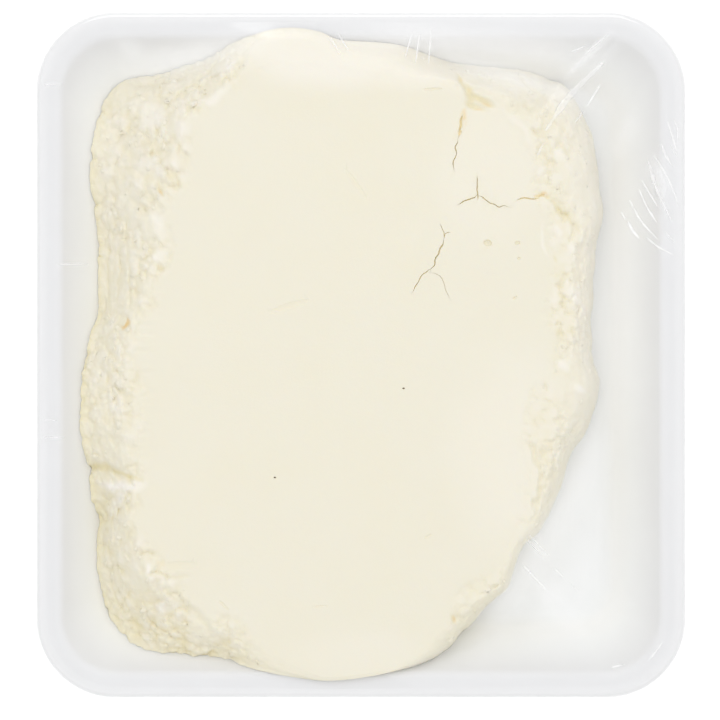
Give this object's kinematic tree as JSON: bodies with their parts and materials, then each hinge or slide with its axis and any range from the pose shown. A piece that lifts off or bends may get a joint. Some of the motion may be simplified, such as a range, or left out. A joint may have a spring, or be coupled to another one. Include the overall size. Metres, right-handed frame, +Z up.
{
  "type": "cream cheese in a wrapped foam tray",
  "caption": "Pressed slab of fresh cream cheese with a smooth cracked top and crumbly sides, in a square foam tray sealed under clear stretch film.",
  "frame": {"origin": "under the middle of the pack, on the surface that it stands on", "axes": "+Z up, +Y along the tray's longer side, towards the top of the picture, +X to the right of the picture"},
  "size_m": [0.135, 0.1424, 0.024],
  "materials": {
    "cheese": "soft moist curd, smooth where the film presses on it",
    "foam": "satin expanded polystyrene with a skin of fine beads",
    "film": "clear glossy stretch film with tension wrinkles"
  },
  "bodies": {
    "root": {"cheese": "cheese", "tray": "foam", "film": "film"}
  },
  "joints": []
}
